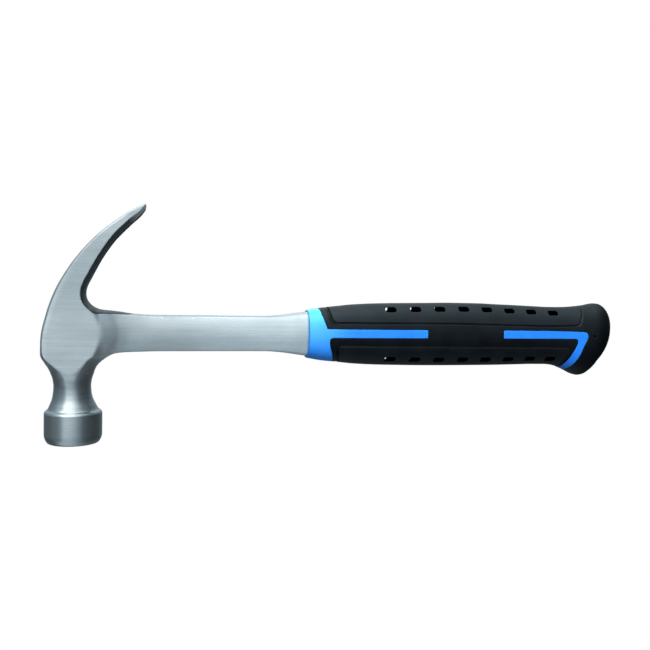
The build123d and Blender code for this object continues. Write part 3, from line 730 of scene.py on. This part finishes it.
def steps(stops):
    """Grid lines from a list of (position, spacing) stops, spacing varied linearly between them."""
    pos = [s[0] for s in stops]
    gap = [s[1] for s in stops]
    out = [pos[0]]
    while out[-1] < pos[-1]:
        out.append(out[-1] + float(np.interp(out[-1], pos, gap)))
    return np.array(out)


xs = steps([(-20, 0.45), (38, 0.45), (60, 1.0), (100, 1.0), (122, 1.0), (135, 3.0), (268, 3.0)])
v, q, n = mesh_field(forging_field, xs, np.arange(0, 15.2, 0.45), np.arange(-56.5, 69, 0.45))
o = make_piece("forging", "hammer_forging", v, q, n, steel)
# share of forged skin at each point: concave side of the claws and the web at their root
fx, fy, fz = v.T
dv, dc = conv_d(fx, fz), conc_d(fx, fz)
inset = np.clip((claw_half(fz) - np.abs(fy)) / 0.5, 0, 1)
forged = np.clip(1.6 - np.abs(n[:, 1]) * 1.6, 0, 1) * 3.0
forged = np.clip(forged, 0, 1) * np.clip((dv - dc) / 1.5 + 0.5, 0, 1) * np.clip((fz - 8.0) / 2.0, 0, 1)
forged *= np.clip((34.0 - fx) / 12.0, 0, 1)
forged = np.maximum(forged, np.clip(-notch_field(fx, fy, fz, dv, dc) * 2 + 1.2, 0, 1) * (dv > 1.2))
layer = o.data.attributes.new("forged", "FLOAT", "POINT")
layer.data.foreach_set("value", forged.astype(np.float32))

gy = np.arange(0, 14.4, 0.44)
zb = steps([(-26.0, 0.36), (-5.0, 0.36), (-3.0, 0.25), (-1.0, 0.25), (0.5, 0.5), (1.5, 0.5), (2.6, 0.25),
            (4.0, 0.25), (6.0, 0.5), (20.5, 0.5)])
xb = steps([(118.5, 0.3), (137.0, 0.35), (142.0, 1.0), (180.0, 1.0), (184.5, 0.25), (187.0, 0.25), (192.0, 1.0),
            (226.0, 1.0), (230.5, 0.25), (232.5, 0.25), (236.0, 1.0), (266.0, 0.8), (269.0, 0.32), (286.5, 0.32)])
v, q, n = mesh_field(blue_field, xb, gy, zb)
make_piece("grip_blue", "grip_core", v, q, n, blue)
zs_ = steps([(-26.0, 0.5), (-9.0, 0.5), (-7.6, 0.22), (-6.0, 0.22), (-4.5, 0.45), (-2.6, 0.3), (-1.2, 0.25), (0.0, 0.5),
             (2.2, 0.5), (2.9, 0.25), (3.6, 0.25), (5.0, 0.4), (5.6, 0.22), (7.4, 0.22), (9.0, 0.5), (20.5, 0.5)])
xs_ = steps([(125.0, 0.33), (140.0, 0.33), (146.0, 0.9), (180.0, 0.9), (185.0, 0.3), (187.0, 0.3), (192.0, 0.9),
             (226.0, 0.9), (230.0, 0.3), (232.5, 0.3), (238.0, 0.9), (262.0, 0.9), (268.0, 0.45), (290.0, 0.42),
             (302.0, 0.5), (308.5, 0.35)])
v, q, n = mesh_field(shell_field, xs_, gy, zs_)
make_piece("grip_black", "grip_shell", v, q, n, black)
xp = steps([(128.5, 0.33), (138.0, 0.33), (144.0, 0.7), (159.0, 0.7), (161.0, 0.36), (270.0, 0.36), (287.5, 0.36)])
zu = steps([(5.6, 0.22), (8.0, 0.22), (9.5, 0.5), (11.5, 0.4), (16.0, 0.36), (20.5, 0.42)])
v, q, n = mesh_field(pad_field(up_sd), xp, gy, zu)
o = make_piece("pad_upper", "upper_grip_pad", v, q, n, pad_black)
slot_shade_layer(o, v)
xq = steps([(133.5, 0.33), (140.0, 0.33), (146.0, 0.7), (159.0, 0.7), (161.0, 0.36), (277.5, 0.36)])
zl = steps([(-25.0, 0.42), (-16.0, 0.36), (-11.5, 0.4), (-9.5, 0.5), (-8.0, 0.22), (-5.3, 0.22)])
v, q, n = mesh_field(pad_field(low_sd), xq, gy, zl)
o = make_piece("pad_lower", "lower_grip_pad", v, q, n, pad_black)
slot_shade_layer(o, v)
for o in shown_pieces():
    print("PIECE", o.name, len(o.data.polygons))

# ------------------------------------------------------------------ floor
me = bpy.data.meshes.new("floor")
me.from_pydata([(-6, -6, -0.0005), (6, -6, -0.0005), (6, 6, -0.0005), (-6, 6, -0.0005)], [], [(0, 1, 2, 3)])
floor = bpy.data.objects.new("floor", me)
bpy.context.scene.collection.objects.link(floor)
fm = bpy.data.materials.new("pale_floor")
fm.use_nodes = True
N = Nodes(fm.node_tree)
e = N.new("ShaderNodeEmission", {0: (1, 1, 1, 1), 1: 1.0})
N.new("ShaderNodeOutputMaterial", {0: e.outputs[0]})
me.materials.append(fm)
floor.visible_glossy = False
floor.visible_diffuse = False
floor.visible_shadow = False

# ------------------------------------------------------------------ world
scene = bpy.context.scene
world = bpy.data.worlds.new("studio")
scene.world = world
world.use_nodes = True
N = Nodes(world.node_tree)
d = N.new("ShaderNodeTexCoord").outputs["Generated"]
dx, dy, dz = N.new("ShaderNodeSeparateXYZ", {0: d}).outputs


def curve(value, lo, hi, points, top=3.0):
    """Value of a curve given as (position, height) points."""
    t = N.ramp(value, lo, hi, 0.0, 1.0, False)
    n = N.new("ShaderNodeFloatCurve", {0: 1.0, 1: t})
    c = n.mapping.curves[0]
    pts = [((a - lo) / (hi - lo), b / top) for a, b in points]
    while len(c.points) < len(pts):
        c.points.new(0.5, 0.5)
    for k, (a, b) in enumerate(pts):
        c.points[k].location = (a, b)
        c.points[k].handle_type = "VECTOR"
    n.mapping.update()
    return N.math("MULTIPLY", n.outputs[0], top)


across = curve(dx, -1.0, 1.0, [(-1.0, 0.18), (-0.9, 0.22), (-0.8, 0.28), (-0.70, 0.40), (-0.60, 0.80),
                               (-0.50, 1.0), (-0.27, 0.92), (-0.07, 0.81), (0.14, 0.60), (0.41, 0.31),
                               (0.66, 0.09), (0.86, 0.04), (1.0, 0.02)])
back = curve(dx, -1.0, 1.0, [(-1.0, 0.15), (-0.7, 0.14), (-0.4, 0.26), (0.0, 0.45), (0.4, 0.22),
                             (0.8, 0.08), (1.0, 0.02)])
height = curve(dz, -1.0, 1.0, [(-1.0, 0.62), (-0.6, 0.58), (-0.34, 0.56), (-0.16, 0.75), (-0.06, 0.99), (0.21, 1.36),
                               (0.48, 2.12), (0.75, 2.3), (1.0, 2.4)])
side = N.ramp(dy, -0.12, 0.12)
turn = N.new("ShaderNodeMix", {0: side, 2: across, 3: back}, data_type="FLOAT").outputs[0]
level = N.math("MULTIPLY", turn, height)
tone = N.mix(N.ramp(level, 0.3, 0.85), (0.93, 1.12, 1.23, 1), (0.93, 0.98, 1.0, 1))
env = N.new("ShaderNodeBackground", {0: tone, 1: level})
white = N.new("ShaderNodeBackground", {0: (1, 1, 1, 1), 1: 1.0})
ray = N.new("ShaderNodeLightPath")
mixn = N.new("ShaderNodeMixShader", {0: ray.outputs["Is Camera Ray"], 1: env.outputs[0], 2: white.outputs[0]})
N.new("ShaderNodeOutputWorld", {0: mixn.outputs[0]})
world.cycles_visibility.diffuse = False


def lamp(name, place, target, size, power, colour=(1, 1, 1)):
    """Soft box seen by matt surfaces only; the polished ones mirror the studio."""
    data = bpy.data.lights.new(name, "AREA")
    data.shape = "SQUARE"
    data.size = size
    data.energy = power
    data.color = colour
    o = bpy.data.objects.new(name, data)
    scene.collection.objects.link(o)
    o.location = place
    o.rotation_euler = (Vector(target) - Vector(place)).to_track_quat("-Z", "Y").to_euler()
    o.visible_glossy = False
    o.visible_camera = False
    return o


lamp("key", (0.02, -0.42, 0.48), (0.13, 0.0, 0.06), 0.25, 5.0, (0.88, 0.98, 1.12))
lamp("low", (0.15, -0.6, -0.15), (0.15, 0.0, 0.06), 0.5, 1.7)
lamp("rear", (0.15, 0.55, 0.45), (0.13, 0.0, 0.06), 0.4, 6.0)
lamp("end", (0.95, -0.1, 0.35), (0.28, 0.0, 0.06), 0.4, 0.7)

# ----------------------------------------------------------------- camera
cam_data = bpy.data.cameras.new("camera")
cam_data.lens = 760.0 / 650.0 * 36.0
cam_data.sensor_width = 36.0
cam_data.clip_start = 0.01
cam_data.clip_end = 100.0
cam = bpy.data.objects.new("camera", cam_data)
scene.collection.objects.link(cam)


def unit(v):
    v = np.asarray(v, float)
    return v / np.linalg.norm(v)


ax_a = unit([(129 - 325) / 760.0, -(284 - 325) / 760.0, -1.0])
ax_b = unit(np.cross([1.0, 0.0, (73 - 325) / 760.0], ax_a))
if ax_b[1] < 0:
    ax_b = -ax_b
ax_c = np.cross(ax_a, ax_b)
roll = 0.00373
ex = math.cos(roll) * ax_c - math.sin(roll) * ax_b
ez = math.sin(roll) * ax_c + math.cos(roll) * ax_b
R = np.stack([ex, ax_a, ez], axis=1)
M = Matrix.Identity(4)
for i in range(3):
    for j in range(3):
        M[i][j] = float(R.T[i][j])
M.translation = Vector((0.0267517, -0.400670, 0.0809503))
cam.matrix_world = M
scene.camera = cam

scene.view_settings.view_transform = "Standard"
scene.view_settings.look = "None"

bpy.context.view_layer.update()
